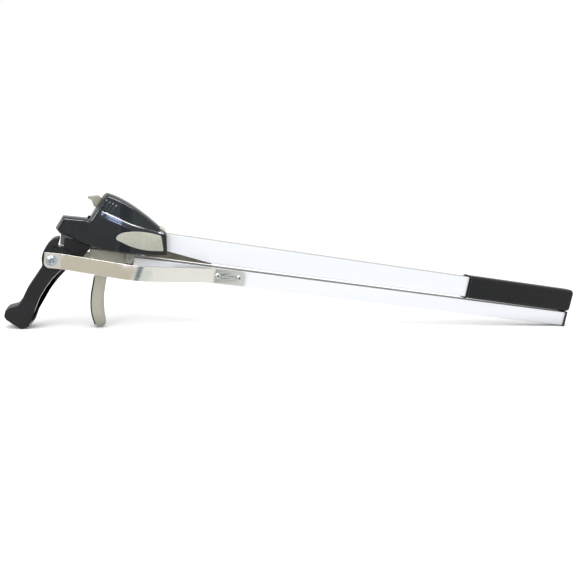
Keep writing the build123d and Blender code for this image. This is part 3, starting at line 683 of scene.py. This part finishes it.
trigger = rounded_slab(trigger_corners, -7.0, 7.0, trigger_edge)
piece("trigger_body", *trigger, "trigger", "trigger", ("trigger",))
strip_corners = [
    (47.1, -15.1, 0.7), (48.7, -14.6, 0.4), (47.6, -37.3, 60), (48.7, -50.3, 60), (52.1, -61.7, 40),
    (56.1, -70.8, 0.4), (54.8, -71.8, 0.7), (50.4, -62.3, 40), (47.2, -50.9, 60), (46.0, -37.5, 60),
]
strip = rounded_slab(strip_corners, -6.0, 6.0, 0.45)
piece("finger_strip", *strip, "trigger", "strip", ("trigger_strip",))

# ---------------------------------------------------------------- release lever
lever_corners = [
    (29.2, 76.5, 0.6), (40.9, 79.6, 1.5), (46.9, 75.4, 3), (52.4, 71.5, 1.5), (51.5, 66.9, 1.5),
    (44.6, 66.5, 2), (37.6, 66.3, 1.0), (34.0, 73.2, 2.5), (30.6, 74.1, 0.8),
]
lever = rounded_slab(lever_corners, -5.0, 5.0, 0.9, spacing=1.0)
piece("lever", *lever, "release_lever", "trigger", ("release_lever",))


# ---------------------------------------------------------------- grip
GRIP_HALF_WIDTH, GRIP_LOW, GRIP_HIGH, GRIP_CORNER, RIDGE_LEVEL = 10.0, 16.6, 49.9, 5.6, 37.2


def grip_section(x, inset, ridge):
    """A rounded rectangle across the tool. ridge is the height of the line moulded along each flank."""
    half, low, high = GRIP_HALF_WIDTH - inset, GRIP_LOW + inset, GRIP_HIGH - inset
    corner = max(0.8, GRIP_CORNER - 0.8 * inset)
    section = []
    for cy, cz, start in ((half - corner, high - corner, 0), (corner - half, high - corner, 90),
                          (corner - half, low + corner, 180), (half - corner, low + corner, 270)):
        for k in range(13):
            angle = radians(start + 90 * k / 12)
            section.append((cy + corner * cos(angle), cz + corner * sin(angle)))
    ring = []
    for y, z in resampled(section, 0.7):
        on_flank = abs(y) > half - 0.5
        out = ridge * exp(-((z - RIDGE_LEVEL) / 0.8) ** 2) * on_flank
        ring.append((x, y + copysign(out, y), z))
    return ring


def grip():
    """The vinyl sleeve: a lip at its mouth, a moulded line on each flank and a closed, rounded end."""
    stations = [
        (564.0, 2.45), (551.6, 2.4), (551.1, 1.9), (551.0, 1.0), (551.25, 0.35), (551.8, 0.02),
        (553.4, 0.0), (554.0, 0.25), (554.5, 0.6), (555.4, 0.7), (558.0, 0.55), (564.0, 0.4),
        (572.5, 0.35),
    ]
    stations += [(572.5 + 8.9 * k, 0.35 - 0.019 * k) for k in range(1, 18)] + [(729.0, 0.0)]
    stations += [(736.3 + 5.6 * sin(radians(a)), 5.6 * (1 - cos(radians(a)))) for a in range(0, 91, 9)]
    rings = []
    for x, inset in stations:
        ridge = 0.45 * float(step_up(x, 565, 580)) * float(1 - step_up(x, 722, 732))
        rings.append(grip_section(x, inset, ridge))
    count = min(len(ring) for ring in rings)
    # Every ring is resampled to the same number of points, from the same starting corner.
    even = []
    for ring in rings:
        path = np.array([(p[1], p[2]) for p in ring] + [(ring[0][1], ring[0][2])])
        length = np.concatenate([[0], np.cumsum(np.hypot(*np.diff(path, axis=0).T))])
        at = np.linspace(0, length[-1], count + 1)[:-1]
        across, height = np.interp(at, length, path[:, 0]), np.interp(at, length, path[:, 1])
        even.append([(ring[0][0], y, z) for y, z in zip(across, height)])
    points = [point for ring in even for point in ring]
    faces = ring_faces(len(even), count)
    faces.append(tuple((len(even) - 1) * count + k for k in range(count)))
    piece("grip_sleeve", points, faces, "head", "grip", ("grip",), sharp=60)


grip()

# ---------------------------------------------------------------- fasteners
bolt_profile = [
    (0.0, -15.6), (1.7, -15.5), (2.0, -15.7), (2.3, -17.1), (2.6, -17.35), (3.4, -17.3), (4.3, -16.9),
    (4.9, -16.3), (5.1, -15.75), (5.3, -15.6), (5.8, -15.5), (6.0, -15.25), (6.0, -14.4), (5.8, -14.2),
    (4.0, -14.2), (4.0, 20.9), (3.4, 21.6), (0.0, 21.7),
]
piece("bolt", *lathe((0, 0), bolt_profile), "head", "bolt", ("pivot_bolt",))
screw_profile = [
    (0.0, -11.2), (0.7, -11.3), (0.95, -12.0), (1.5, -12.15), (2.4, -11.95), (3.1, -11.45),
    (3.55, -10.85), (3.6, -10.55), (2.3, -10.5), (2.3, 13.3), (1.9, 13.7), (0.0, 13.7),
]
# The strap screws lie on the strap's rear stretch, which rises slightly.
screw_centres = [(x, 6.0 * x / 225) for x in (190.8, 217.8)]
screws = join(*[lathe(centre, screw_profile, 36) for centre in screw_centres])
piece("screws", *screws, "lower_arm", "screws", ("strap_screws",))
# Dark discs in the dips of the screw heads are painted shade in their sockets.
socket_shade_profile = [(0.0, -11.34), (1.15, -11.34), (1.15, -11.9), (0.9, -12.1), (0.0, -12.0)]
socket_shade = join(*[lathe(centre, socket_shade_profile, 6) for centre in screw_centres])
piece("screw_socket_shade", *socket_shade, "lower_arm", "black_steel", sharp=None)

# ---------------------------------------------------------------- pusher spring
def helix(x0, x1, height, radius, wire, turns, steps=20, around=8):
    """Points and faces of a coil spring along the tool."""
    points = []
    count = turns * steps
    for i in range(count + 1):
        angle = 2 * pi * i / steps
        for k in range(around):
            spread = radius + wire * cos(2 * pi * k / around)
            x = x0 + wire + (x1 - x0 - 2 * wire) * i / count + wire * sin(2 * pi * k / around)
            points.append((x, spread * cos(angle), height + spread * sin(angle)))
    faces = ring_faces(count + 1, around)
    faces += [tuple(range(around)), tuple(count * around + k for k in range(around))]
    return points, faces


COIL_START, COIL_END, COIL_HEIGHT = 60.2, 84.8, 26.4
turns = helix(COIL_START, COIL_END, COIL_HEIGHT, radius=2.4, wire=0.35, turns=12)
coil = piece("spring_coil", *turns, None, "spring", ("pusher_spring",), sharp=60)
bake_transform(coil)

# ---------------------------------------------------------------- studio
scene = bpy.context.scene
scene.view_settings.view_transform = "Standard"


def stage_mesh(name, corners, colour, emit=0.0):
    """One flat four-cornered sheet round the object, dull or glowing."""
    mesh = bpy.data.meshes.new(name)
    mesh.from_pydata(corners, [], [(0, 1, 2, 3)])
    obj = bpy.data.objects.new(name, mesh)
    scene.collection.objects.link(obj)
    mat = bpy.data.materials.new(name)
    mat.use_nodes = True
    shader = mat.node_tree.nodes["Principled BSDF"]
    shader.inputs["Base Color"].default_value = (*colour, 1)
    shader.inputs["Roughness"].default_value = 0.9
    shader.inputs["Specular IOR Level"].default_value = 0.1
    if emit:
        shader.inputs["Emission Color"].default_value = (*colour, 1)
        shader.inputs["Emission Strength"].default_value = emit
    mesh.materials.append(mat)
    return obj


def glow_far_off(obj):
    """Far from the tool the floor glows a little, so that it meets the white surroundings without a line."""
    nodes, links = obj.data.materials[0].node_tree.nodes, obj.data.materials[0].node_tree.links
    shader = nodes["Principled BSDF"]
    spot = nodes.new("ShaderNodeTexCoord")
    reach = nodes.new("ShaderNodeVectorMath")
    reach.operation = "LENGTH"
    glow = nodes.new("ShaderNodeMapRange")
    glow.inputs["From Min"].default_value = 0.5
    glow.inputs["From Max"].default_value = 3.0
    glow.inputs["To Max"].default_value = 0.25
    links.new(spot.outputs["Object"], reach.inputs[0])
    links.new(reach.outputs["Value"], glow.inputs["Value"])
    links.new(glow.outputs["Result"], shader.inputs["Emission Strength"])
    shader.inputs["Emission Color"].default_value = (1, 1, 1, 1)


FLOOR_REACH = 12
floor_corners = [(x * FLOOR_REACH, y * FLOOR_REACH, 0) for x, y in ((-1, -1), (1, -1), (1, 1), (-1, 1))]
floor = stage_mesh("floor", floor_corners, (0.93, 0.93, 0.93))
floor.visible_glossy = False
glow_far_off(floor)
HEAD_CENTRE = Vector((-0.3, 0, 0.1))


def card(name, azimuth0, azimuth1, low, high, radius, colour, emit):
    """An upright reflector panel, placed round the head. Azimuth 0 faces it from the left side, towards -y.
    Only reflections show it."""
    angles = radians(azimuth0), radians(azimuth1)
    ends = [(radius * sin(angle) + HEAD_CENTRE.x, -radius * cos(angle)) for angle in angles]
    corners = [(*ends[0], low), (*ends[1], low), (*ends[1], high), (*ends[0], high)]
    obj = stage_mesh(name, corners, colour, emit)
    obj.visible_camera = False
    obj.visible_diffuse = False
    obj.visible_shadow = False
    return obj


card("warm_card", -80, -6, -1.6, 0.35, 3.0, (0.36, 0.34, 0.295), 0.75)
card("blue_card", 0, 15, -1.6, 2.0, 2.9, (0.075, 0.105, 0.135), 0.6)
card("grey_card", 19, 46, -1.6, 2.0, 2.9, (0.48, 0.52, 0.51), 0.6)

world = bpy.data.worlds.new("studio")
scene.world = world
world.use_nodes = True
surroundings = world.node_tree.nodes["Background"]
surroundings.inputs["Color"].default_value = (1.0, 1.0, 1.0, 1)
surroundings.inputs["Strength"].default_value = 1.0


def softbox(name, place, aim, size, energy, colour=(1, 1, 1)):
    """A rectangular light at place, turned towards aim."""
    data = bpy.data.lights.new(name, "AREA")
    data.shape = "RECTANGLE"
    data.size, data.size_y = size
    data.energy = energy
    data.color = colour
    obj = bpy.data.objects.new(name, data)
    obj.location = place
    obj.rotation_euler = (Vector(aim) - Vector(place)).to_track_quat("-Z", "Y").to_euler()
    scene.collection.objects.link(obj)
    return obj


# These three lights fall on the shell only. They draw the crease, the front edge and the bluish pane.
glints = bpy.data.collections.new("glints")
for name in ("shell_left", "shell_right"):
    glints.objects.link(bpy.data.objects[name])
for light in (
    softbox("crease_light", (0.1, -1.0, 1.7), HEAD_CENTRE, (1.7, 0.45), 130),
    softbox("front_light", (-2.2, 0.25, 0.7), HEAD_CENTRE, (0.5, 0.8), 26),
    softbox("pane_light", (-0.15, -1.8, 1.15), HEAD_CENTRE, (0.8, 0.36), 30, (0.50, 0.60, 1.0)),
):
    light.light_linking.receiver_collection = glints
softbox("key", (-0.5, -0.6, 1.9), (0, 0, 0.05), (1.6, 1.2), 22)
softbox("window", (-1.6, -1.5, 1.1), HEAD_CENTRE, (0.5, 1.1), 9, (0.82, 0.88, 1.0))

# ---------------------------------------------------------------- camera
camera_data = bpy.data.cameras.new("camera")
camera_data.lens = 37.5
camera_data.sensor_width = 36
camera = bpy.data.objects.new("camera", camera_data)
scene.collection.objects.link(camera)
scene.camera = camera
# The camera's place and directions in the tool's own frame.
camera_place = Vector((29.2, -725.8, 122.8))
camera_right = Vector((0.9368, -0.3035, 0.1741))
camera_back = Vector((-0.3308, -0.9303, 0.1584))
camera_up = camera_back.cross(camera_right).normalized()
turn = TOOL.to_3x3().normalized() @ Matrix((camera_right, camera_up, camera_back)).transposed()
camera.matrix_world = Matrix.Translation(TOOL @ camera_place) @ turn.to_4x4()

bpy.context.view_layer.update()
